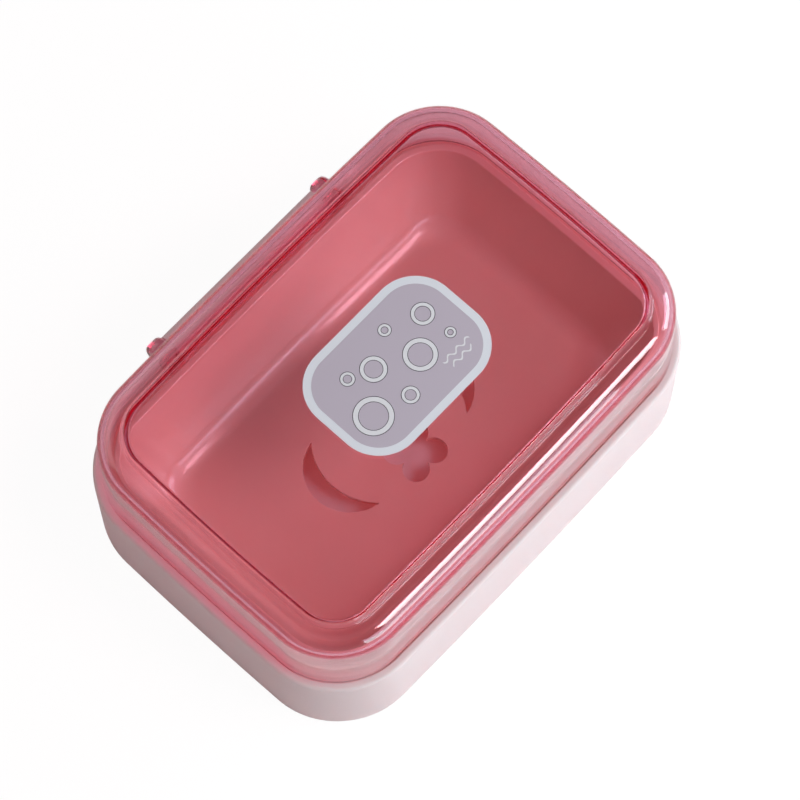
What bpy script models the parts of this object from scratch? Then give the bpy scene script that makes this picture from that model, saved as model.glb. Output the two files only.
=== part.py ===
"""Hinged soap box: a tub, a drain tray that drops into it, and a clear lid on a snap hinge.

Metres, +Z up. X runs along the long sides and +Y points to the hinge. The origin is on the surface that
the foot ring stands on, in the middle of the whole outline with its hinge. Sections and outlines are drawn
about the tub's own middle, which lies a little in front of it.
"""
import math

import bmesh
import bpy
from mathutils import Matrix

# Clearances and the one overrun of every cut and union
SEAT_GAP = 0.0003
CUT_OVERRUN = 0.002

# Outline of the tub seen from above: half a rounded rectangle's sides bow outwards a little
BASE_LENGTH = 0.1357
BASE_WIDTH = 0.0954
BASE_CORNER = 0.0213
LONG_SIDE_BOW = 0.0009
SHORT_SIDE_BOW = 0.0009

# Tub
BASE_RIM_HEIGHT = 0.0291
BASE_WALL = 0.0022
BASE_DRAFT = 0.0006
BASE_FLOOR = 0.0020
BASE_FOOT_RADIUS = 0.0022
BASE_RIM_RADIUS = 0.0009
BASE_RIM_CHAMFER = 0.0003
BASE_INNER_FILLET = 0.0030
FOOT_RING_WIDTH = 0.0060
UNDERSIDE_RECESS = 0.0018
RIB_THICKNESS = 0.0016
RIB_REACH = 0.0024
RIB_SPACING_X = 0.0720
RIB_SPACING_Y = 0.0340

# Drain tray
TRAY_WALL = 0.0015
TRAY_FLANGE = 0.0018
TRAY_FLOOR_HEIGHT = 0.0100
TRAY_FLOOR_FILLET = 0.0065
TRAY_FLOOR_CORNER = 0.0090
TRAY_WALL_SLOPE = math.radians(25)
LIP_HEIGHT = 0.0019
LIP_WALL = 0.0020
LIP_CHAMFER = 0.0004
LIP_SWING_GAP = 0.0010
MOON_SPACING = 0.0316
MOON_LENGTH = 0.0232
MOON_OUTER_BULGE = 0.0100
MOON_INNER_BULGE = 0.0046
FLOWER_SPACING = 0.0178
PETAL_OFFSET = 0.0033
PETAL_RADIUS = 0.0034

# Lid
RIM_REVEAL = 0.00215
LID_HEIGHT = 0.05475
LID_WALL = 0.0017
SKIRT_CHAMFER = 0.0003
SHOULDER_RADIUS = 0.0050
TERRACE_INSET = 0.0075
TERRACE_WIDTH = 0.0010
STEP_RUN = 0.0014
STEP_HEIGHT = 0.0022
STEP_SHIFT_SHARE = 0.5
PLATEAU_CORNER = 0.0100

# Snap hinge on the rear side
HINGE_OUTSIDE = 0.0008
HINGE_RISE = 0.0037
BARREL_LENGTH = 0.0526
BARREL_RADIUS = 0.00245
BRACKET_DEPTH = 0.0085
EAR_WIDTH = 0.0048
EAR_RADIUS = 0.0034
EAR_ROUNDING = 0.0013
STUD_RADIUS = 0.0012
STUD_LENGTH = 0.0042

# Facets of the round stretches
CORNER_STEPS = 10
LONG_SIDE_STEPS = 8
SHORT_SIDE_STEPS = 6
FILLET_STEPS = 5
SHOULDER_STEPS = 7
STEP_STEPS = 6
HINGE_FACETS = 32
HOLE_STEPS = 18
EAR_ROUNDING_STEPS = 3

# Places that the sizes above give
HALF_LENGTH = BASE_LENGTH / 2
HALF_WIDTH = BASE_WIDTH / 2
FLOOR_TOP = UNDERSIDE_RECESS + BASE_FLOOR
SKIRT_BOTTOM = BASE_RIM_HEIGHT + SEAT_GAP
HINGE_Y = HALF_WIDTH + HINGE_OUTSIDE
HINGE_Z = BASE_RIM_HEIGHT + HINGE_RISE
TUB_Y = -(HINGE_OUTSIDE + EAR_RADIUS) / 2
EAR_X = BARREL_LENGTH / 2 + SEAT_GAP
LIP_INSET = RIM_REVEAL + LID_WALL + LIP_SWING_GAP
FLANGE_INSET = BASE_WALL + SEAT_GAP
FLANGE_BOTTOM = BASE_RIM_HEIGHT - TRAY_FLANGE
SKIRT_TOP_INSET = TERRACE_INSET - SHOULDER_RADIUS
STEP_FOOT_INSET = TERRACE_INSET + TERRACE_WIDTH


def side(start, end, steps):
    """Points along one straight side, without its two ends."""
    shares = [step / steps for step in range(1, steps)]
    return [(start[0] + (end[0] - start[0]) * s, start[1] + (end[1] - start[1]) * s) for s in shares]


def outline(inset, corner):
    """The tub's rounded rectangle drawn in by inset, with its own corner radius, counter-clockwise."""
    half_x = HALF_LENGTH - inset
    half_y = HALF_WIDTH - inset
    centre_x = half_x - corner
    centre_y = half_y - corner
    corners = [(centre_x, centre_y, 0), (-centre_x, centre_y, 90),
               (-centre_x, -centre_y, 180), (centre_x, -centre_y, 270)]
    points = []
    for index, (x, y, start) in enumerate(corners):
        turned = [math.radians(start + 90 * step / CORNER_STEPS) for step in range(CORNER_STEPS + 1)]
        arc = [(x + corner * math.cos(angle), y + corner * math.sin(angle)) for angle in turned]
        next_x, next_y, next_start = corners[(index + 1) % 4]
        next_angle = math.radians(next_start)
        following = (next_x + corner * math.cos(next_angle), next_y + corner * math.sin(next_angle))
        steps = LONG_SIDE_STEPS if index % 2 == 0 else SHORT_SIDE_STEPS
        points += arc + side(arc[-1], following, steps)
    bowed = []
    for x, y in points:
        across = x / half_x
        along = y / half_y
        bowed.append((x - SHORT_SIDE_BOW * across * along ** 2, y - LONG_SIDE_BOW * along * across ** 2))
    return bowed


def arc(centre_inset, centre_height, radius, start, end, steps):
    """Stations of a profile's fillet: angles in degrees from the inward direction, upwards."""
    angles = [math.radians(start + (end - start) * step / steps) for step in range(steps + 1)]
    return [(centre_inset + radius * math.cos(a), centre_height + radius * math.sin(a)) for a in angles]


def offset_corner(inset):
    """Corner radius of a ring that keeps its distance to the tub's outline."""
    return BASE_CORNER - inset


def loft(name, stations):
    """A closed body through level rings, one for each (inset, height, corner) station, capped at both ends."""
    bm = bmesh.new()
    inset, height, corner = stations[0]
    ring = [bm.verts.new((x, y, height)) for x, y in outline(inset, corner)]
    edges = list(bm.faces.new(ring).edges)
    for inset, height, corner in stations[1:]:
        grown = bmesh.ops.extrude_edge_only(bm, edges=edges)["geom"]
        fresh = {item for item in grown if isinstance(item, bmesh.types.BMVert)}
        ring = [next(edge.other_vert(vert) for edge in vert.link_edges if edge.other_vert(vert) in fresh)
                for vert in ring]
        for vert, (x, y) in zip(ring, outline(inset, corner)):
            vert.co = (x, y, height)
        edges = [edge for edge in grown if isinstance(edge, bmesh.types.BMEdge)]
    bm.faces.new(ring)
    bmesh.ops.recalc_face_normals(bm, faces=bm.faces)
    return finish(name, bm)


def finish(name, bm, location=(0, 0, 0)):
    """Turn a bmesh into a named object that is shaded smooth over its gentle edges."""
    mesh = bpy.data.meshes.new(name)
    bm.to_mesh(mesh)
    bm.free()
    mesh.shade_smooth()
    mesh.set_sharp_from_angle(angle=math.radians(30))
    item = bpy.data.objects.new(name, mesh)
    item.location = location
    bpy.context.scene.collection.objects.link(item)
    return item


def prism(name, points, low, high):
    """An upright prism over a flat outline, from low to high."""
    bm = bmesh.new()
    face = bm.faces.new([bm.verts.new((x, y, low)) for x, y in points])
    top = bmesh.ops.extrude_face_region(bm, geom=[face])["geom"]
    raised = [item for item in top if isinstance(item, bmesh.types.BMVert)]
    bmesh.ops.translate(bm, vec=(0, 0, high - low), verts=raised)
    bmesh.ops.recalc_face_normals(bm, faces=bm.faces)
    return finish(name, bm)


def along_x(name, points, start, end):
    """A prism along X over an outline of (y, z) points."""
    item = prism(name, points, start, end)
    item.data.transform(Matrix(((0, 0, 1, 0), (1, 0, 0, 0), (0, 1, 0, 0), (0, 0, 0, 1))))
    return item


def round_ends(item, beyond):
    """Round the edges of a bar's two ends, except the ones that lie on the side y = beyond."""
    bm = bmesh.new()
    bm.from_mesh(item.data)
    ends = [edge for edge in bm.edges if edge.verts[0].co.x == edge.verts[1].co.x]
    outer = [edge for edge in ends if max(vert.co.y for vert in edge.verts) > beyond + SEAT_GAP]
    bmesh.ops.bevel(bm, geom=outer, offset=EAR_ROUNDING, offset_type="OFFSET", segments=EAR_ROUNDING_STEPS,
                    profile=0.5, affect="EDGES", material=-1)
    bm.to_mesh(item.data)
    bm.free()
    item.data.shade_smooth()


def circle(y, z, radius, start=0, end=360, steps=HINGE_FACETS):
    """Points of an arc or, by default, of a whole circle about (y, z), in degrees."""
    count = steps if end - start == 360 else steps + 1
    angles = [math.radians(start + (end - start) * step / steps) for step in range(count)]
    return [(y + radius * math.cos(a), z + radius * math.sin(a)) for a in angles]


def boolean(target, tool, operation):
    """Join a tool to a body, or cut it out, and keep the tool as a hidden guide."""
    step = target.modifiers.new(tool.name, "BOOLEAN")
    step.operation = operation
    step.solver = "EXACT"
    step.object = tool
    tool.hide_render = True
    tool.display_type = "WIRE"


def plastic(name, color, roughness, alpha=1.0, transmission=0.0):
    """A moulded plastic as a Principled BSDF."""
    material = bpy.data.materials.new(name)
    material.use_nodes = True
    shader = material.node_tree.nodes["Principled BSDF"]
    shader.inputs["Base Color"].default_value = color
    shader.inputs["Roughness"].default_value = roughness
    shader.inputs["Metallic"].default_value = 0.0
    shader.inputs["Alpha"].default_value = alpha
    shader.inputs["Transmission Weight"].default_value = transmission
    return material


def tub_stations():
    """The tub's section, from the middle of its underside round the wall to the middle of its floor."""
    ring_outer = BASE_FOOT_RADIUS
    ring_inner = ring_outer + FOOT_RING_WIDTH
    floor_inset = BASE_WALL + BASE_DRAFT
    path = [(ring_inner + UNDERSIDE_RECESS, UNDERSIDE_RECESS), (ring_inner, 0)]
    path += arc(ring_outer, BASE_FOOT_RADIUS, BASE_FOOT_RADIUS, 270, 180, FILLET_STEPS)
    rim_centre = BASE_RIM_HEIGHT - BASE_RIM_RADIUS
    path += arc(BASE_RIM_RADIUS, rim_centre, BASE_RIM_RADIUS, 180, 90, FILLET_STEPS)
    path += [(BASE_WALL - BASE_RIM_CHAMFER, BASE_RIM_HEIGHT), (BASE_WALL, BASE_RIM_HEIGHT - BASE_RIM_CHAMFER)]
    path += arc(floor_inset + BASE_INNER_FILLET, FLOOR_TOP + BASE_INNER_FILLET, BASE_INNER_FILLET,
                180, 270, FILLET_STEPS)
    return [(inset, height, offset_corner(inset)) for inset, height in path]


def make_rib(name, x, y, turned):
    """A plate on the tub's inner wall, turned with its wall, that carries the tray's flange."""
    reach = BASE_WALL + RIB_REACH
    half = RIB_THICKNESS / 2
    low = FLOOR_TOP - BASE_FLOOR / 2
    high = FLANGE_BOTTOM - SEAT_GAP
    if turned:
        wall = math.copysign(HALF_LENGTH - BASE_WALL / 2, x)
        tip = math.copysign(HALF_LENGTH - reach, x)
        points = [(wall, y - half), (tip, y - half), (tip, y + half), (wall, y + half)]
    else:
        wall = math.copysign(HALF_WIDTH - BASE_WALL / 2, y)
        tip = math.copysign(HALF_WIDTH - reach, y)
        points = [(x - half, wall), (x - half, tip), (x + half, tip), (x + half, wall)]
    return prism(name, points, low, high)


def make_base():
    """The tub with its tray ribs, and the bored hinge barrel on its rear wall."""
    base = loft("base_box", tub_stations())
    for sign_x in (-1, 1):
        for sign_y in (-1, 1):
            corner = f"{sign_x}_{sign_y}"
            along = make_rib("rib_long_" + corner, sign_x * RIB_SPACING_X / 2, sign_y * HALF_WIDTH, False)
            across = make_rib("rib_short_" + corner, sign_x * HALF_LENGTH, sign_y * RIB_SPACING_Y / 2, True)
            boolean(base, along, "UNION")
            boolean(base, across, "UNION")
    half = BARREL_LENGTH / 2
    wall_middle = HALF_WIDTH - BASE_WALL / 2
    web_inner = HALF_WIDTH - BASE_WALL + BASE_RIM_RADIUS
    foot = HINGE_Z - BRACKET_DEPTH - BARREL_RADIUS
    web = [(wall_middle, foot), (HALF_WIDTH, foot)]
    web += circle(HINGE_Y, HINGE_Z, BARREL_RADIUS, -30, 180, HINGE_FACETS // 2)
    web += [(web_inner, HINGE_Z - BARREL_RADIUS / 2), (web_inner, BASE_RIM_HEIGHT - BASE_RIM_RADIUS),
            (wall_middle, BASE_RIM_HEIGHT - 2 * BASE_RIM_RADIUS)]
    boolean(base, along_x("hinge_barrel", web, -half, half), "UNION")
    bore = STUD_RADIUS + SEAT_GAP
    depth = STUD_LENGTH + SEAT_GAP
    for sign in (-1, 1):
        inner = half - depth
        outer = half + CUT_OVERRUN
        start, end = sorted((sign * inner, sign * outer))
        cutter = along_x(f"hinge_bore_{sign}", circle(HINGE_Y, HINGE_Z, bore), start, end)
        boolean(base, cutter, "DIFFERENCE")
    base.data.materials.append(plastic("pale_pink_plastic", (0.86, 0.74, 0.72, 1.0), 0.35))
    return base


def basin(wall_inset, top, thickness, floor_height):
    """Sloped wall and floor fillet of the basin, from its top edge down; thickness moves it outwards."""
    radius = TRAY_FLOOR_FILLET + thickness
    slope = math.degrees(TRAY_WALL_SLOPE)
    inner_centre = TRAY_FLOOR_FILLET * math.cos(TRAY_WALL_SLOPE) + wall_inset
    fall = top - TRAY_FLOOR_HEIGHT - TRAY_FLOOR_FILLET * (1 - math.sin(TRAY_WALL_SLOPE))
    centre = inner_centre + fall * math.tan(TRAY_WALL_SLOPE)
    return arc(centre, floor_height + radius, radius, 180 + slope, 270, FILLET_STEPS + 2)


def tray_corner(inset, height):
    """Corner radius of the tray, which eases from the tub's at its lip to a tighter one at its floor."""
    depth_share = (BASE_RIM_HEIGHT - height) / (BASE_RIM_HEIGHT - TRAY_FLOOR_HEIGHT)
    lip_corner = offset_corner(LIP_INSET + LIP_WALL)
    if height >= FLANGE_BOTTOM:
        return offset_corner(inset)
    return lip_corner + (TRAY_FLOOR_CORNER - lip_corner) * min(1, max(0, depth_share))


def tray_stations():
    """The tray's section, from the middle of its underside out over the flange and lip into the basin."""
    lip_top = BASE_RIM_HEIGHT + LIP_HEIGHT
    lip_inner = LIP_INSET + LIP_WALL
    wall_top = lip_top - LIP_CHAMFER
    under_top = FLANGE_BOTTOM
    lean = TRAY_WALL / math.cos(TRAY_WALL_SLOPE)
    under_inset = lip_inner + (wall_top - under_top) * math.tan(TRAY_WALL_SLOPE) - lean
    outside = basin(lip_inner, wall_top, TRAY_WALL, TRAY_FLOOR_HEIGHT - TRAY_WALL)
    inside = basin(lip_inner, wall_top, 0, TRAY_FLOOR_HEIGHT)
    path = outside[::-1] + [(under_inset, under_top), (FLANGE_INSET, under_top),
                            (FLANGE_INSET, BASE_RIM_HEIGHT), (LIP_INSET, BASE_RIM_HEIGHT),
                            (LIP_INSET, wall_top), (LIP_INSET + LIP_CHAMFER, lip_top),
                            (lip_inner - LIP_CHAMFER, lip_top), (lip_inner, wall_top)] + inside
    return [(inset, height, tray_corner(inset, height)) for inset, height in path]


def moon_outline(sign):
    """A crescent whose horns point to the middle of the tray: an outer and an inner arc on one chord."""
    half = MOON_LENGTH / 2
    points = []
    for bulge, order in ((MOON_OUTER_BULGE, 1), (MOON_INNER_BULGE, -1)):
        radius = (half ** 2 + bulge ** 2) / (2 * bulge)
        reach = math.asin(min(1, half / radius))
        centre = bulge - radius
        angles = [order * reach * (2 * step / HOLE_STEPS - 1) for step in range(HOLE_STEPS)]
        points += [(centre + radius * math.cos(a), radius * math.sin(a)) for a in angles]
    return [(sign * (MOON_SPACING / 2 + x), y) for x, y in points]


def flower_outline(y_centre):
    """Four round petals that meet in cusps."""
    cusp = math.sqrt(PETAL_RADIUS ** 2 - PETAL_OFFSET ** 2)
    spread = 45 + math.degrees(math.acos(cusp / PETAL_RADIUS))
    points = []
    for quarter in range(4):
        middle = 45 + 90 * quarter
        angles = [math.radians(middle - spread + 2 * spread * step / HOLE_STEPS) for step in range(HOLE_STEPS)]
        x = math.copysign(PETAL_OFFSET, math.cos(math.radians(middle)))
        y = y_centre + math.copysign(PETAL_OFFSET, math.sin(math.radians(middle)))
        points += [(x + PETAL_RADIUS * math.cos(a), y + PETAL_RADIUS * math.sin(a)) for a in angles]
    return points


def make_tray():
    """The drain tray: flange, lip and sloped basin, with moons and flowers pierced through its floor."""
    tray = loft("drain_tray", tray_stations())
    low = TRAY_FLOOR_HEIGHT - TRAY_WALL - CUT_OVERRUN
    high = TRAY_FLOOR_HEIGHT + CUT_OVERRUN
    for sign in (-1, 1):
        boolean(tray, prism(f"moon_hole_{sign}", moon_outline(sign), low, high), "DIFFERENCE")
        flower = flower_outline(sign * FLOWER_SPACING / 2)
        boolean(tray, prism(f"flower_hole_{sign}", flower, low, high), "DIFFERENCE")
    tray.data.materials.append(plastic("soft_pink_plastic", (0.87, 0.66, 0.63, 1.0), 0.3))
    return tray


def lid_face(wall):
    """Stations of one face of the lid, from its plateau down to the top of the skirt, wall below the outside."""
    top = LID_HEIGHT - wall
    foot = STEP_FOOT_INSET + wall * STEP_SHIFT_SHARE
    shares = [step / STEP_STEPS for step in range(STEP_STEPS + 1)]
    path = [(foot + STEP_RUN * (1 - share), top - STEP_HEIGHT * (1 - math.cos(math.pi * share)) / 2)
            for share in shares]
    centre = LID_HEIGHT - STEP_HEIGHT - SHOULDER_RADIUS
    return path + arc(TERRACE_INSET, centre, SHOULDER_RADIUS - wall, 90, 180, SHOULDER_STEPS)


def lid_corner(inset):
    """Corner radius of the lid, which eases from the plateau's own to the skirt's."""
    skirt_corner = offset_corner(SKIRT_TOP_INSET)
    share = (inset - SKIRT_TOP_INSET) / (STEP_FOOT_INSET + STEP_RUN - SKIRT_TOP_INSET)
    return skirt_corner + (PLATEAU_CORNER - skirt_corner) * min(1, max(0, share))


def lid_stations():
    """The lid's section, from the middle of its plateau down the skirt and back up inside."""
    inner_bottom = RIM_REVEAL + LID_WALL
    skirt = [(RIM_REVEAL, SKIRT_BOTTOM + SKIRT_CHAMFER), (RIM_REVEAL + SKIRT_CHAMFER, SKIRT_BOTTOM),
             (inner_bottom - SKIRT_CHAMFER, SKIRT_BOTTOM), (inner_bottom, SKIRT_BOTTOM + SKIRT_CHAMFER)]
    path = lid_face(0) + skirt + lid_face(LID_WALL)[::-1]
    return [(inset, height, lid_corner(inset)) for inset, height in path]


def make_lid():
    """The clear lid: stepped plateau, rounded shoulder and skirt, with two hinge ears and their studs."""
    lid = loft("clear_lid", lid_stations())
    root = HALF_WIDTH - RIM_REVEAL - LID_WALL / 2
    ear = [(root, HINGE_Z + EAR_RADIUS)]
    ear += [(root, HINGE_Z - EAR_RADIUS)]
    ear += circle(HINGE_Y, HINGE_Z, EAR_RADIUS, -90, 90, HINGE_FACETS // 2)
    for sign in (-1, 1):
        start, end = sorted((sign * EAR_X, sign * (EAR_X + EAR_WIDTH)))
        lug = along_x(f"hinge_ear_{sign}", ear, start, end)
        round_ends(lug, root)
        boolean(lid, lug, "UNION")
        stud = circle(HINGE_Y, HINGE_Z, STUD_RADIUS)
        start, end = sorted((sign * (EAR_X - STUD_LENGTH), sign * (EAR_X + EAR_WIDTH / 2)))
        boolean(lid, along_x(f"hinge_stud_{sign}", stud, start, end), "UNION")
    lid.data.materials.append(plastic("clear_rose_plastic", (0.72, 0.18, 0.26, 1.0), 0.06, 0.45, 0.9))
    return lid


def hang(item, parent, pivot=(0, 0, 0)):
    """Hang an object and its guides on an empty that stands at pivot in the tub's own frame."""
    for piece in [item] + [step.object for step in item.modifiers]:
        piece.parent = parent
        piece.matrix_parent_inverse = Matrix.Translation(pivot).inverted()


def make_empty(name, location, parent=None):
    """An empty to hang pieces on."""
    empty = bpy.data.objects.new(name, None)
    empty.location = location
    empty.parent = parent
    bpy.context.scene.collection.objects.link(empty)
    return empty


def main():
    for item in list(bpy.data.objects):
        bpy.data.objects.remove(item)
    box = make_empty("soap_box", (0, TUB_Y, 0))
    axis = make_empty("lid_hinge", (0, HINGE_Y, HINGE_Z), box)
    hang(make_base(), box)
    hang(make_tray(), box)
    hang(make_lid(), axis, axis.location)


main()
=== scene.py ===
import math

import bmesh
import bpy
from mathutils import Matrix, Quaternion, Vector


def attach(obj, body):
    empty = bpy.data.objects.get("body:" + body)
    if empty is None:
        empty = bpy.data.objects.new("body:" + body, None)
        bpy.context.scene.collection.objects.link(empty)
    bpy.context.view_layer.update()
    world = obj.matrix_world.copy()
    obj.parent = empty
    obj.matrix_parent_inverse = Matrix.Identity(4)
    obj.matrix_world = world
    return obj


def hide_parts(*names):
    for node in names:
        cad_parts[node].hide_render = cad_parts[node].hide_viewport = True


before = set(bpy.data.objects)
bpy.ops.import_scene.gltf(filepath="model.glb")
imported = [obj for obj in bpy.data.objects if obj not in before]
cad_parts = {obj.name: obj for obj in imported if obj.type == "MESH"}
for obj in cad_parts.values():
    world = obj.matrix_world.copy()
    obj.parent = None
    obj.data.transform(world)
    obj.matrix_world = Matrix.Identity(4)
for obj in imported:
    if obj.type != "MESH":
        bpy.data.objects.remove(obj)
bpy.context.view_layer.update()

# Tub
# The lower half: one injection moulding in pale pink polypropylene, opaque, with a satin skin. Its section is
# drawn in millimetres as insets from the outline and heights above the table, then swept round the outline. The
# signs in quarters are those of a rectangle's corners, and tools reach past what they join or cut by overlap.
MM = 0.001
tub_length = 135.7
tub_width = 95.4
tub_corner = 21.3
side_bow = 0.9
rim_height = 29.1
tub_wall = 2.2
tub_draft = 0.6
tub_floor = 3.8
foot_radius = 2.2
foot_ring_width = 6.0
foot_recess = 1.8
rim_radius = 0.9
floor_round = 3.0
edge_round = 0.3
straight = 0.4
seat_gap = 0.3
hinge_outside = 0.8
hinge_rise = 3.7
ear_radius = 3.4
tub_y = -(hinge_outside + ear_radius) / 2
hinge_y = tub_width / 2 + hinge_outside
hinge_z = rim_height + hinge_rise
barrel_length = 52.6
barrel_radius = 2.45
bracket_depth = 8.5
stud_radius = 1.2
stud_length = 4.2
corner_steps = 26
long_steps = 20
short_steps = 14
quarters = ((1, 1), (-1, 1), (-1, -1), (1, -1))
sharp_angle = 32
overlap = 1


def outline(inset, corner):
    """Rounded rectangle with slightly bowed sides, drawn in by inset, counter-clockwise, in millimetres."""
    half_x = tub_length / 2 - inset
    half_y = tub_width / 2 - inset
    points = []
    for quarter, (sign_x, sign_y) in enumerate(quarters):
        centre = Vector((sign_x * (half_x - corner), sign_y * (half_y - corner)))
        for step in range(corner_steps + 1):
            angle = math.radians(90 * (quarter + step / corner_steps))
            points.append(centre + corner * Vector((math.cos(angle), math.sin(angle))))
        turned = math.radians(90 * (quarter + 1))
        next_x, next_y = quarters[(quarter + 1) % 4]
        after = Vector((next_x * (half_x - corner), next_y * (half_y - corner)))
        after += corner * Vector((math.cos(turned), math.sin(turned)))
        steps = long_steps if quarter % 2 == 0 else short_steps
        points += [points[-1].lerp(after, step / steps) for step in range(1, steps)]
    for point in points:
        across = point.x / half_x
        along = point.y / half_y
        point.x -= side_bow * across * along ** 2
        point.y -= side_bow * along * across ** 2
    return points


def fillet(inset, height, radius, start, end, steps=9):
    """Stations of a rounded edge of the section, angles in degrees from inwards to upwards."""
    angles = [math.radians(start + (end - start) * step / steps) for step in range(steps + 1)]
    return [(inset + radius * math.cos(angle), height + radius * math.sin(angle)) for angle in angles]


def sweep(stations):
    """Extrude a ring from station to station, (inset, height, corner) each, and close both ends with a face."""
    shell = bmesh.new()
    ring = []
    edges = []
    for inset, height, corner in stations:
        places = [(point.x * MM, (point.y + tub_y) * MM, height * MM) for point in outline(inset, corner)]
        if ring:
            grown = bmesh.ops.extrude_edge_only(shell, edges=edges)["geom"]
            fresh = {item for item in grown if isinstance(item, bmesh.types.BMVert)}
            ring = [next(edge.other_vert(vert) for edge in vert.link_edges if edge.other_vert(vert) in fresh)
                    for vert in ring]
            for vert, place in zip(ring, places):
                vert.co = place
            edges = [item for item in grown if isinstance(item, bmesh.types.BMEdge)]
        else:
            ring = [shell.verts.new(place) for place in places]
            edges = list(shell.faces.new(ring).edges)
    shell.faces.new(ring)
    bmesh.ops.recalc_face_normals(shell, faces=shell.faces)
    return shell


def smooth(mesh):
    """Shade a mesh smooth over every edge gentler than sharp_angle."""
    mesh.shade_smooth()
    mesh.set_sharp_from_angle(angle=math.radians(sharp_angle))


def make_piece(name, shell):
    """Turn a bmesh into a smooth object at the origin."""
    mesh = bpy.data.meshes.new(name)
    shell.to_mesh(mesh)
    shell.free()
    smooth(mesh)
    piece = bpy.data.objects.new(name, mesh)
    bpy.context.scene.collection.objects.link(piece)
    return piece


def thicken(shape, faces, x=0, z=0):
    """Extrude faces of a bmesh along X or Z, so that they become a closed block."""
    grown = bmesh.ops.extrude_face_region(shape, geom=faces)["geom"]
    moved = [item for item in grown if isinstance(item, bmesh.types.BMVert)]
    bmesh.ops.translate(shape, vec=(x, 0, z), verts=moved)


def block(points, x=0, z=0):
    """A block whose one end is a face over points, as a bmesh."""
    shape = bmesh.new()
    thicken(shape, [shape.faces.new([shape.verts.new(point) for point in points])], x, z)
    bmesh.ops.recalc_face_normals(shape, faces=shape.faces)
    return shape


def cross_bar(name, points, start, end, rounding=0):
    """A bar along X between start and end over (y, z) points, in millimetres about the tub's middle."""
    bar = block([(start * MM, (y + tub_y) * MM, z * MM) for y, z in points], x=(end - start) * MM)
    if rounding:
        ends = [edge for edge in bar.edges if edge.verts[0].co.x == edge.verts[1].co.x]
        wall_y = (points[0][0] + tub_y) * MM
        outer = [edge for edge in ends if max(vert.co.y for vert in edge.verts) > wall_y + 0.1 * MM]
        bmesh.ops.bevel(bar, geom=outer, offset=rounding * MM, offset_type="OFFSET", segments=6, profile=0.5,
                        affect="EDGES", material=-1)
    return make_piece(name, bar)


def round_points(radius, start=0, end=360, steps=48):
    """Points of an arc about the hinge axis, or of the whole circle, as (y, z)."""
    count = steps if end - start == 360 else steps + 1
    angles = [math.radians(start + (end - start) * step / steps) for step in range(count)]
    return [(hinge_y + radius * math.cos(angle), hinge_z + radius * math.sin(angle)) for angle in angles]


def carve(piece, tools, operation):
    """Join tools to a piece, or cut them out of it, and clear them away."""
    for tool in tools:
        step = piece.modifiers.new(tool.name, "BOOLEAN")
        step.operation = operation
        step.solver = "EXACT"
        step.object = tool
    mesh = bpy.data.meshes.new_from_object(piece.evaluated_get(bpy.context.evaluated_depsgraph_get()))
    piece.modifiers.clear()
    smooth(mesh)
    piece.data = mesh
    for tool in tools:
        bpy.data.objects.remove(tool)


def linear(code):
    """Linear RGBA of an sRGB hex colour."""
    channels = [int(code[start:start + 2], 16) / 255 for start in (1, 3, 5)]
    return [c / 12.92 if c <= 0.04045 else ((c + 0.055) / 1.055) ** 2.4 for c in channels] + [1.0]


def make_tree(piece, name):
    """Give a piece its own material and return the material's empty node tree."""
    material = bpy.data.materials.new(name)
    material.use_nodes = True
    material.node_tree.nodes.clear()
    piece.data.materials.clear()
    piece.data.materials.append(material)
    return material.node_tree


def add(tree, kind, values=None, links=None, **settings):
    """Add a node with its settings, the values of its sockets and the outputs that feed them."""
    item = tree.nodes.new(kind)
    for key, value in settings.items():
        setattr(item, key, value)
    for socket, value in (values or {}).items():
        item.inputs[socket].default_value = value
    for socket, source in (links or {}).items():
        tree.links.new(source, item.inputs[socket])
    return item


def calc(tree, operation, first, second):
    """Add a math node over two operands, each a number or another node's output, and return its output."""
    item = tree.nodes.new("ShaderNodeMath")
    item.operation = operation
    for socket, operand in zip(item.inputs, (first, second)):
        if isinstance(operand, bpy.types.NodeSocket):
            tree.links.new(operand, socket)
        else:
            socket.default_value = operand
    return item.outputs[0]


ring_inner = foot_radius + foot_ring_width
recess_inner = ring_inner + foot_recess
tub_path = [(recess_inner + straight, foot_recess), (recess_inner, foot_recess),
            (ring_inner, 0), (ring_inner - straight, 0), (foot_radius + straight, 0)]
tub_path += fillet(foot_radius, foot_radius, foot_radius, 270, 180)
tub_path += fillet(rim_radius, rim_height - rim_radius, rim_radius, 180, 90)
tub_path += fillet(tub_wall - edge_round, rim_height - edge_round, edge_round, 90, 0, 4)
wall_foot = tub_wall + tub_draft
tub_path += [(wall_foot, tub_floor + floor_round + straight)]
tub_path += fillet(wall_foot + floor_round, tub_floor + floor_round, floor_round, 180, 270)
tub_path += [(wall_foot + floor_round + straight, tub_floor)]
tub = make_piece("tub", sweep([(inset, height, tub_corner - inset) for inset, height in tub_path]))

rib_thickness = 1.6
rib_reach = 2.4
rib_top = 27.0
rib_x = 36
rib_y = 17
half_x = tub_length / 2
half_y = tub_width / 2
ribs = []
for sign_x in (-1, 1):
    for sign_y in (-1, 1):
        for x, y, size_x, size_y in ((sign_x * rib_x, sign_y * (half_y - tub_wall), rib_thickness, 2 * rib_reach),
                                     (sign_x * (half_x - tub_wall), sign_y * rib_y, 2 * rib_reach, rib_thickness)):
            rib = bmesh.new()
            bmesh.ops.create_cube(rib, size=MM)
            height = rib_top - tub_floor + overlap
            bmesh.ops.scale(rib, vec=(size_x, size_y, height), verts=rib.verts)
            shift = Vector((x - sign_x * size_x / 4 * (size_x > size_y),
                            y - sign_y * size_y / 4 * (size_y > size_x) + tub_y, rib_top - height / 2))
            bmesh.ops.translate(rib, vec=shift * MM, verts=rib.verts)
            ribs.append(make_piece("rib", rib))
web_inner = half_y - tub_wall + rim_radius
wall_middle = half_y - tub_wall / 2
web_foot = hinge_z - bracket_depth - barrel_radius
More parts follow.
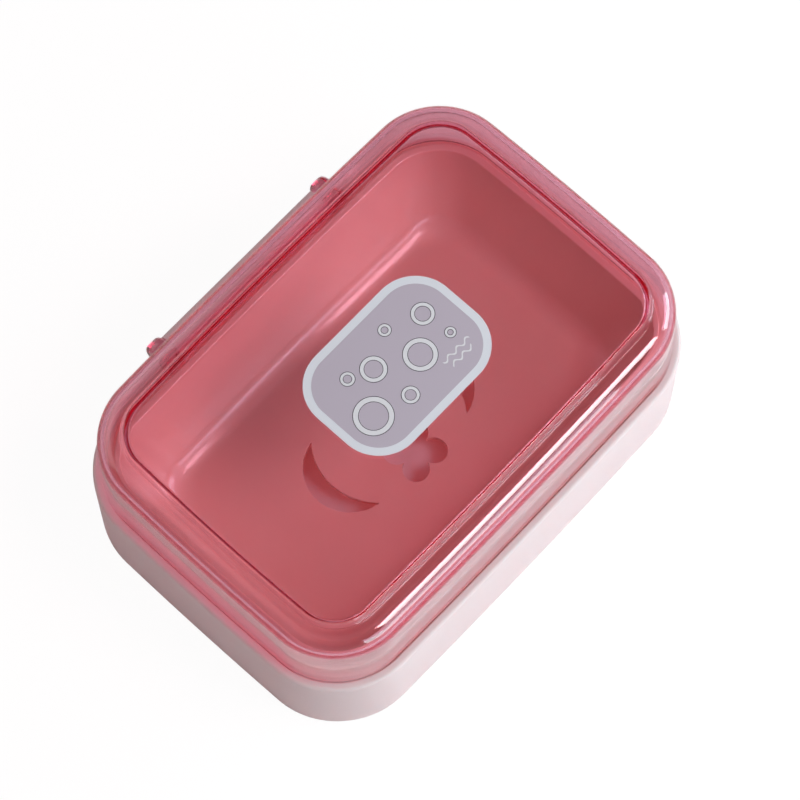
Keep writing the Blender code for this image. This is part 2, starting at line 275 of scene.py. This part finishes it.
barrel_points = [(wall_middle, web_foot), (half_y, web_foot)] + round_points(barrel_radius, -30, 180, 40)
barrel_points += [(web_inner, hinge_z - barrel_radius / 2), (web_inner, rim_height - rim_radius),
                  (wall_middle, rim_height - 2 * rim_radius)]
barrel = cross_bar("barrel", barrel_points, -barrel_length / 2, barrel_length / 2)
carve(tub, ribs + [barrel], "UNION")
bore_depth = stud_length + seat_gap
bores = []
for sign in (-1, 1):
    ends = sorted((sign * (barrel_length / 2 - bore_depth), sign * (barrel_length / 2 + overlap)))
    bores.append(cross_bar("bore", round_points(stud_radius + seat_gap), *ends))
carve(tub, bores, "DIFFERENCE")

# Satin polypropylene: the soft sheen of a polished mould that was lightly blasted, with a breath of light under
# the skin. The grain is drawn 0.5 mm wide, coarser than the real blasting, so that it shows.
polypropylene = make_tree(tub, "satin_polypropylene")
place = add(polypropylene, "ShaderNodeTexCoord")
grain = add(polypropylene, "ShaderNodeTexNoise", {"Scale": 1 / 0.0005, "Detail": 2.0},
            {"Vector": place.outputs["Object"]})
cloud = add(polypropylene, "ShaderNodeTexNoise", {"Scale": 1 / 0.030, "Detail": 3.0},
            {"Vector": place.outputs["Object"]})
sheen_range = add(polypropylene, "ShaderNodeMapRange", {"To Min": 0.40, "To Max": 0.52},
                  {"Value": cloud.outputs["Fac"]})
tint = add(polypropylene, "ShaderNodeMix", {"A": linear("#F0DADA"), "B": linear("#F3DFDF")},
           {"Factor": cloud.outputs["Fac"]}, data_type="RGBA")
bump = add(polypropylene, "ShaderNodeBump", {"Strength": 0.05, "Distance": 0.00005},
           {"Height": grain.outputs["Fac"]})
shader = add(polypropylene, "ShaderNodeBsdfPrincipled",
             {"IOR": 1.49, "Specular IOR Level": 0.25, "Subsurface Weight": 0.25, "Subsurface Scale": 0.004,
              "Subsurface Radius": (1.0, 0.55, 0.5)},
             {"Base Color": tint.outputs["Result"], "Roughness": sheen_range.outputs["Result"],
              "Normal": bump.outputs["Normal"]})
add(polypropylene, "ShaderNodeOutputMaterial", None, {"Surface": shader.outputs["BSDF"]})
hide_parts("base_box")
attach(tub, "base")

# Drain tray
# A thin moulding that drops into the tub's mouth. Its flange hangs on the ribs, a low lip stands inside the lid's
# skirt, and the sloped basin ends in a pierced floor: two crescents and two flowers let the water through.
tray_wall = 1.5
tray_flange = 1.8
tray_floor = 10.0
tray_fillet = 6.5
tray_floor_corner = 9.0
tray_slope = math.radians(25)
lip_height = 1.9
lip_wall = 2.0
lip_round = 0.4
lip_root = 0.2
rim_reveal = 2.15
lid_wall = 1.7
skirt_clearance = 1.0
lip_inset = rim_reveal + lid_wall + skirt_clearance
lip_inner = lip_inset + lip_wall
lip_top = rim_height + lip_height
flange_inset = tub_wall + seat_gap
flange_bottom = rim_height - tray_flange
moon_spacing = 31.6
moon_length = 23.2
moon_outer_bulge = 10.0
moon_inner_bulge = 4.6
flower_spacing = 17.8
petal_offset = 3.3
petal_radius = 3.4
hole_steps = 40


def basin(thickness):
    """The sloped wall's fillet down to the flat floor, moved outwards by thickness."""
    fall = lip_top - lip_round - tray_floor - tray_fillet * (1 - math.sin(tray_slope))
    centre = tray_fillet * math.cos(tray_slope) + lip_inner + fall * math.tan(tray_slope)
    radius = tray_fillet + thickness
    stations = fillet(centre, tray_floor + tray_fillet, radius, 180 + math.degrees(tray_slope), 270, 16)
    return stations + [(centre + straight, tray_floor - thickness)]


def tray_corner(inset, height):
    """The corner tightens from the lip down to the floor."""
    if height >= flange_bottom:
        return tub_corner - inset
    share = min(1, (rim_height - height) / (rim_height - tray_floor))
    top = tub_corner - lip_inner
    return top + (tray_floor_corner - top) * share


def prism(name, points):
    """An upright cutter through the tray's floor over (x, y) points in millimetres about the tub's middle."""
    low = (tray_floor - tray_wall - overlap) * MM
    places = [(x * MM, (y + tub_y) * MM, low) for x, y in points]
    return make_piece(name, block(places, z=(tray_wall + 2 * overlap) * MM))


def moon(sign):
    """A crescent between two arcs on one chord."""
    points = []
    for bulge, order in ((moon_outer_bulge, 1), (moon_inner_bulge, -1)):
        radius = ((moon_length / 2) ** 2 + bulge ** 2) / (2 * bulge)
        reach = math.asin(min(1, moon_length / 2 / radius))
        for step in range(hole_steps):
            angle = order * reach * (2 * step / hole_steps - 1)
            points.append((sign * (moon_spacing / 2 + bulge - radius + radius * math.cos(angle)),
                           radius * math.sin(angle)))
    return points


def flower(y_centre):
    """Four round petals that meet in cusps."""
    spread = 45 + math.degrees(math.acos(math.sqrt(petal_radius ** 2 - petal_offset ** 2) / petal_radius))
    points = []
    for quarter, (sign_x, sign_y) in enumerate(quarters):
        for step in range(hole_steps):
            angle = math.radians(45 + 90 * quarter - spread + 2 * spread * step / hole_steps)
            points.append((sign_x * petal_offset + petal_radius * math.cos(angle),
                           y_centre + sign_y * petal_offset + petal_radius * math.sin(angle)))
    return points


lean = tray_wall / math.cos(tray_slope)
under_inset = lip_inner + (lip_top - lip_round - flange_bottom) * math.tan(tray_slope) - lean
tray_path = basin(tray_wall)[::-1] + [(under_inset, flange_bottom), (flange_inset, flange_bottom)]
tray_path += fillet(flange_inset + edge_round, rim_height - edge_round, edge_round, 180, 90, 4)
tray_path += [(lip_inset - lip_root, rim_height), (lip_inset, rim_height + lip_root)]
tray_path += fillet(lip_inset + lip_round, lip_top - lip_round, lip_round, 180, 90, 6)
tray_path += fillet(lip_inner - lip_round, lip_top - lip_round, lip_round, 90, -10, 6)
tray_path += basin(0)
tray = make_piece("tray", sweep([(inset, height, tray_corner(inset, height)) for inset, height in tray_path]))
holes = [prism("hole", moon(-1)), prism("hole", moon(1))]
holes += [prism("hole", flower(-flower_spacing / 2)), prism("hole", flower(flower_spacing / 2))]
carve(tray, holes, "DIFFERENCE")

# Gloss polypropylene: the same family of plastic in a warmer pink, polished. A broad gloss and a tighter one over
# it draw the long lights in its fillets. The broad unevenness is 8 mm wide, as sink marks and flow lines are. The
# wall is thin enough for lamp light to pass, tinted, to the tub's floor, so the drain holes aren't black.
tray_plastic = make_tree(tray, "gloss_polypropylene")
place = add(tray_plastic, "ShaderNodeTexCoord")
flow = add(tray_plastic, "ShaderNodeTexNoise", {"Scale": 1 / 0.008, "Detail": 2.0},
           {"Vector": place.outputs["Object"]})
sheen_range = add(tray_plastic, "ShaderNodeMapRange", {"To Min": 0.34, "To Max": 0.42},
                  {"Value": flow.outputs["Fac"]})
bump = add(tray_plastic, "ShaderNodeBump", {"Strength": 0.10, "Distance": 0.00008},
           {"Height": flow.outputs["Fac"]})
tint = add(tray_plastic, "ShaderNodeMix", {"A": linear("#F0B7AE"), "B": linear("#F2BEB4")},
           {"Factor": flow.outputs["Fac"]}, data_type="RGBA")
shader = add(tray_plastic, "ShaderNodeBsdfPrincipled",
             {"IOR": 1.49, "Specular IOR Level": 0.9, "Subsurface Weight": 0.3, "Subsurface Scale": 0.0015,
              "Subsurface Radius": (1.0, 0.6, 0.5), "Coat Weight": 1.0, "Coat Roughness": 0.12},
             {"Base Color": tint.outputs["Result"], "Roughness": sheen_range.outputs["Result"],
              "Normal": bump.outputs["Normal"]})
rays = add(tray_plastic, "ShaderNodeLightPath")
let_through = calc(tray_plastic, "MULTIPLY", rays.outputs["Is Shadow Ray"], 0.80)
open_way = add(tray_plastic, "ShaderNodeBsdfTransparent", {"Color": linear("#F6B4AC")})
surface = add(tray_plastic, "ShaderNodeMixShader", None,
              {0: let_through, 1: shader.outputs["BSDF"], 2: open_way.outputs["BSDF"]})
add(tray_plastic, "ShaderNodeOutputMaterial", None, {"Surface": surface.outputs["Shader"]})
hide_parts("drain_tray")
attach(tray, "base")

# Lid
# The cover: a shell of clear rose acrylic, moulded in one with the hinge ears and their studs, which snap into
# the tub's barrel. A raised plateau stands on a rounded shoulder, and the skirt leans out a little to its foot.
lid_height = 54.6
skirt_bottom = rim_height + seat_gap
shoulder_radius = 5.0
terrace_inset = 7.5
terrace_width = 1.0
step_run = 1.4
step_height = 2.2
step_shift = 0.5
step_stations = 16
plateau_corner = 10.0
ear_width = 4.8
ear_round = 1.3
skirt_top_inset = terrace_inset - shoulder_radius


def lid_face(wall):
    """One face of the lid's section, from the plateau down to the skirt, wall below the outside."""
    top = lid_height - wall
    step_foot = terrace_inset + terrace_width + wall * step_shift
    stations = [(step_foot + step_run + straight, top)]
    for step in range(step_stations + 1):
        share = step / step_stations
        stations.append((step_foot + step_run * (1 - share),
                         top - step_height * (1 - math.cos(math.pi * share)) / 2))
    centre = lid_height - step_height - shoulder_radius
    stations += fillet(terrace_inset, centre, shoulder_radius - wall, 90, 180, 24)
    return stations


def lid_corner(inset):
    """The corner tightens from the skirt in to the plateau."""
    outer = tub_corner - skirt_top_inset
    share = min(1, max(0, (inset - skirt_top_inset) / (shoulder_radius + terrace_width + step_run)))
    return outer + (plateau_corner - outer) * share


skirt_foot = fillet(rim_reveal + edge_round, skirt_bottom + edge_round, edge_round, 180, 270, 4)
skirt_foot += fillet(rim_reveal + lid_wall - edge_round, skirt_bottom + edge_round, edge_round, 270, 360, 4)
lid_path = lid_face(0) + skirt_foot + lid_face(lid_wall)[::-1]
lid = make_piece("lid", sweep([(inset, height, lid_corner(inset)) for inset, height in lid_path]))
root = half_y - rim_reveal - lid_wall / 2
ear_points = [(root, hinge_z + ear_radius), (root, hinge_z - ear_radius)] + round_points(ear_radius, -90, 90, 40)
ear_start = barrel_length / 2 + seat_gap
ears = []
for sign in (-1, 1):
    ear_ends = sorted((sign * ear_start, sign * (ear_start + ear_width)))
    stud_ends = sorted((sign * (ear_start - stud_length), sign * (ear_start + ear_width / 2)))
    ears.append(cross_bar("ear", ear_points, *ear_ends, ear_round))
    ears.append(cross_bar("stud", round_points(stud_radius), *stud_ends))
carve(lid, ears, "UNION")

# Clear acrylic dyed rose: no colour of its own on the skin, all of it in the depth, so that a wall seen edge on
# goes crimson while the 1.7 mm plateau only tints what lies under it. Lamp light and diffuse bounces pass the wall
# straight and are only tinted, which lights the basin without noise.
acrylic = make_tree(lid, "clear_rose_acrylic")
shader = add(acrylic, "ShaderNodeBsdfPrincipled",
             {"Base Color": linear("#FFFFFF"), "Roughness": 0.03, "IOR": 1.49, "Transmission Weight": 1.0,
              "Coat Weight": 1.0, "Coat Roughness": 0.03})
rays = add(acrylic, "ShaderNodeLightPath")
lit = calc(acrylic, "MAXIMUM", rays.outputs["Is Shadow Ray"], rays.outputs["Is Diffuse Ray"])
open_way = add(acrylic, "ShaderNodeBsdfTransparent", {"Color": linear("#FFFFFF")})
surface = add(acrylic, "ShaderNodeMixShader", None,
              {0: lit, 1: shader.outputs["BSDF"], 2: open_way.outputs["BSDF"]})
depth = add(acrylic, "ShaderNodeVolumeAbsorption", {"Color": linear("#F883B6"), "Density": 250.0})
add(acrylic, "ShaderNodeOutputMaterial", None,
    {"Surface": surface.outputs["Shader"], "Volume": depth.outputs["Volume"]})
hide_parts("clear_lid")
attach(lid, "lid")

# Label
# A printed film on the plateau: a pale border round a grey field, with rings of soap bubbles and two ripples in
# white ink. It is 0.1 mm thick and follows the lid.
label_x = 1.5
label_y = -1.5
label_length = 45.0
label_width = 31.5
label_corner = 11.0
label_border = 2.0
film = 0.10
ink = 0.015
film_gap = 0.005
film_base = lid_height + film_gap
outline_width = 0.16
inner_outline_width = 0.14
ripple_width = 0.45
ripple_height = 0.5
ripple_turn = 2.1
bubbles = ((-13.2, -4.6, 5.0), (-4.6, 3.4, 3.4), (-10.6, 6.2, 1.9), (-3.4, -7.4, 2.3), (5.6, -2.2, 4.3),
           (13.6, 4.4, 3.0), (4.4, 8.2, 1.7), (14.6, -3.6, 1.5))
ripples = ((12.2, -7.6, 9.0), (12.2, -9.6, 7.0))


def slab(name, length, width, corner, low, high):
    """A flat plate with round corners about the label's middle."""
    points = []
    for quarter, (sign_x, sign_y) in enumerate(quarters):
        x = (length / 2 - corner) * sign_x
        y = (width / 2 - corner) * sign_y
        for step in range(corner_steps + 1):
            angle = math.radians(90 * (quarter + step / corner_steps))
            points.append((x + corner * math.cos(angle), y + corner * math.sin(angle), low))
    return set_on_lid(name, block(points, z=high - low))


def set_on_lid(name, shape):
    """Move a shape drawn in millimetres about the label's middle to its place and make it a piece of the lid."""
    bmesh.ops.translate(shape, vec=(label_x, label_y + tub_y, 0), verts=shape.verts)
    bmesh.ops.scale(shape, vec=(MM, MM, MM), verts=shape.verts)
    bmesh.ops.recalc_face_normals(shape, faces=shape.faces)
    piece = make_piece(name, shape)
    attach(piece, "lid")
    return piece


def ring(shape, x, y, radius, width, low, high):
    """Add a flat ring, its section spun about its middle."""
    corners = ((radius - width, low), (radius, low), (radius, high), (radius - width, high))
    verts = [shape.verts.new((x + reach, y, z)) for reach, z in corners]
    edges = [shape.edges.new((verts[index], verts[(index + 1) % 4])) for index in range(4)]
    bmesh.ops.spin(shape, geom=verts + edges, cent=(x, y, 0), axis=(0, 0, 1), angle=math.tau, steps=48,
                   use_merge=True, use_duplicate=False)


def ripple(shape, x, y, length, low, high):
    """Add a thin wavy line along X."""
    strip = bmesh.ops.create_grid(shape, x_segments=48, y_segments=1, size=0.5)["verts"]
    for vert in strip:
        along = vert.co.x * length
        wave = ripple_height * math.sin(along * ripple_turn)
        vert.co = (x + along, y + vert.co.y * ripple_width + wave, low)
    faces = {face for vert in strip for face in vert.link_faces}
    thicken(shape, list(faces), z=high - low)


film_top = film_base + film
ink_top = film_top + 2 * ink
label = slab("label", label_length, label_width, label_corner, film_base, film_top)
field = slab("label_field", label_length - 2 * label_border, label_width - 2 * label_border,
             label_corner - label_border, film_top - ink, film_top + ink)
white = bmesh.new()
dark = bmesh.new()
for x, y, radius in bubbles:
    band = 0.18 * radius + 0.3
    ring(dark, x, y, radius, outline_width, film_top, ink_top)
    ring(white, x, y, radius - outline_width, band, film_top, ink_top)
    ring(dark, x, y, radius - outline_width - band, inner_outline_width, film_top, ink_top)
for x, y, length in ripples:
    ripple(white, x, y, length, film_top, ink_top)
rings = set_on_lid("label_rings", white)
outlines = set_on_lid("label_outlines", dark)
# Coated film and screen inks: flat colours under one thin gloss varnish.
for piece, name, code, rough in ((label, "label_film", "#F3F4FB", 0.35),
                                 (field, "label_grey_ink", "#CEC2CF", 0.40),
                                 (rings, "label_white_ink", "#F4F2F6", 0.40),
                                 (outlines, "label_dark_ink", "#3A3340", 0.40)):
    tree = make_tree(piece, name)
    shader = add(tree, "ShaderNodeBsdfPrincipled", {"Base Color": linear(code), "Roughness": rough, "IOR": 1.45})
    add(tree, "ShaderNodeOutputMaterial", None, {"Surface": shader.outputs["BSDF"]})

# Light and stage
# White paper under a dim overhead glow, with softboxes before the front long side, above it, at the right end and,
# large and dim, behind. The photograph's shadows are pink, so the fill and the light off the paper are a little
# pink, and the key and the side lamp a little cool. Glass and gloss see the shadowed paper and only a touch of the
# white that the camera sees.
floor_size = 3.0
lamp_aim = Vector((0, 0, 0.03))


def whiteness(tree, rays, camera_share, glass_share):
    """The share of plain white that a ray sees: one for the camera's, one for those off gloss or through glass."""
    glass = calc(tree, "MAXIMUM", rays.outputs["Is Glossy Ray"], rays.outputs["Is Transmission Ray"])
    glass = calc(tree, "MULTIPLY", glass, glass_share)
    direct = calc(tree, "MULTIPLY", rays.outputs["Is Camera Ray"], camera_share)
    return calc(tree, "MAXIMUM", direct, glass)


floor_mesh = bmesh.new()
bmesh.ops.create_grid(floor_mesh, x_segments=1, y_segments=1, size=floor_size)
floor = make_piece("floor", floor_mesh)
paper = make_tree(floor, "white_paper")
lift = whiteness(paper, add(paper, "ShaderNodeLightPath"), 0.90, 0.05)
matt = add(paper, "ShaderNodeBsdfDiffuse", {"Color": linear("#FCEDED")})
glow = add(paper, "ShaderNodeEmission", {"Color": linear("#FFFFFF"), "Strength": 1.05})
mix = add(paper, "ShaderNodeMixShader", None, {0: lift, 1: matt.outputs[0], 2: glow.outputs[0]})
add(paper, "ShaderNodeOutputMaterial", None, {"Surface": mix.outputs[0]})

world = bpy.data.worlds.new("studio")
bpy.context.scene.world = world
world.use_nodes = True
studio = world.node_tree
studio.nodes.clear()
way = add(studio, "ShaderNodeTexCoord")
# Low light: brightest from the front right, where the tub is palest in the photograph, and gone by mid height.
facing = add(studio, "ShaderNodeVectorMath", {1: (0.55, -0.83, 0.0)}, {0: way.outputs["Generated"]},
             operation="DOT_PRODUCT")
side_light = add(studio, "ShaderNodeMapRange", {"From Min": -0.7, "From Max": 0.9, "To Min": 0.05, "To Max": 0.32},
                 {"Value": facing.outputs["Value"]})
split = add(studio, "ShaderNodeSeparateXYZ", None, {"Vector": way.outputs["Generated"]})
height = add(studio, "ShaderNodeMapRange", {"From Min": 0.30, "From Max": 0.65}, {"Value": split.outputs["Z"]})
low = add(studio, "ShaderNodeMix", {"B": 0.0}, {"Factor": height.outputs["Result"],
          "A": side_light.outputs["Result"]}, data_type="FLOAT")
# Overhead light: a broad glow with a dark patch where the lid's plateau would mirror it into the camera.
above = add(studio, "ShaderNodeVectorMath", {1: (-0.15, 0.30, 0.942)}, {0: way.outputs["Generated"]},
            operation="DOT_PRODUCT")
above = calc(studio, "POWER", calc(studio, "MAXIMUM", above.outputs["Value"], 0.0), 2.0)
mirrored = add(studio, "ShaderNodeVectorMath", {1: (0.25, 0.233, 0.94)}, {0: way.outputs["Generated"]},
               operation="DOT_PRODUCT")
gap = add(studio, "ShaderNodeMapRange", {"From Min": 0.955, "From Max": 0.985, "To Min": 0.27, "To Max": 0.03},
          {"Value": mirrored.outputs["Value"]})
overhead = calc(studio, "MULTIPLY", above, gap.outputs["Result"])
rise = calc(studio, "ADD", low.outputs["Result"], overhead)
# Near the horizon the camera sees plain white, and glass and gloss see a share of it.
near = add(studio, "ShaderNodeMapRange", {"From Min": 0.08, "From Max": 0.25, "To Min": 1.0, "To Max": 0.0},
           {"Value": split.outputs["Z"]})
rays = add(studio, "ShaderNodeLightPath")
seen = calc(studio, "MULTIPLY", whiteness(studio, rays, 1.0, 0.15), near.outputs["Result"])
level = add(studio, "ShaderNodeMix", {"B": 1.0}, {"Factor": seen, "A": rise}, data_type="FLOAT")
tone = add(studio, "ShaderNodeMix", {"A": linear("#FFEAEC"), "B": linear("#FFFFFF")},
           {"Factor": rays.outputs["Is Camera Ray"]}, data_type="RGBA")
air = add(studio, "ShaderNodeBackground", None,
          {"Color": tone.outputs["Result"], "Strength": level.outputs["Result"]})
add(studio, "ShaderNodeOutputWorld", None, {"Surface": air.outputs["Background"]})


def softbox(name, place, size_x, size_y, power, code):
    """An area lamp at place, in metres, turned to the box, of a power in watts and a colour code."""
    data = bpy.data.lights.new(name, "AREA")
    data.shape = "RECTANGLE"
    data.size = size_x
    data.size_y = size_y
    data.energy = power
    data.color = linear(code)[:3]
    lamp = bpy.data.objects.new(name, data)
    lamp.location = place
    lamp.rotation_mode = "QUATERNION"
    lamp.rotation_quaternion = (lamp_aim - Vector(place)).to_track_quat("-Z", "Y")
    bpy.context.scene.collection.objects.link(lamp)


softbox("key", (0.0, -0.66, 0.29), 0.50, 0.20, 1.7, "#DAF8FF")
softbox("front", (0.20, -0.41, 0.62), 0.34, 0.24, 2.2, "#FFFFFF")
softbox("side", (0.62, -0.36, 0.30), 0.36, 0.24, 1.9, "#DAF8FF")
softbox("back", (-0.25, 0.75, 0.50), 1.00, 0.60, 1.5, "#FFF4F2")

# Camera: its place, turn and lens come from a fit to the outlines in the photograph.
camera_azimuth = math.radians(-47.02)
camera_elevation = math.radians(70.05)
camera_roll = math.radians(-0.22)
camera_distance = 0.8863
camera_target = Vector((0.00758, 0.00249, 0.00307))
lens_pixels = 3540
frame_pixels = 800
shift_pixels_x = 3.8
shift_pixels_y = 5.4
camera_data = bpy.data.cameras.new("camera")
camera_data.lens = camera_data.sensor_width * lens_pixels / frame_pixels
camera_data.shift_x = shift_pixels_x / frame_pixels
camera_data.shift_y = shift_pixels_y / frame_pixels
camera = bpy.data.objects.new("camera", camera_data)
back = Vector((math.sin(camera_azimuth) * math.cos(camera_elevation),
               -math.cos(camera_azimuth) * math.cos(camera_elevation), math.sin(camera_elevation)))
camera.location = camera_target + back * camera_distance
camera.rotation_mode = "QUATERNION"
camera.rotation_quaternion = (-back).to_track_quat("-Z", "Y") @ Quaternion((0, 0, 1), camera_roll)
bpy.context.scene.collection.objects.link(camera)
bpy.context.scene.camera = camera
bpy.context.scene.view_settings.view_transform = "Standard"
# A ray is passed on many times inside the lid's walls: with fewer bounces their edges go black.
bpy.context.scene.cycles.glossy_bounces = 32
bpy.context.scene.cycles.transmission_bounces = 32
bpy.context.scene.cycles.max_bounces = 40
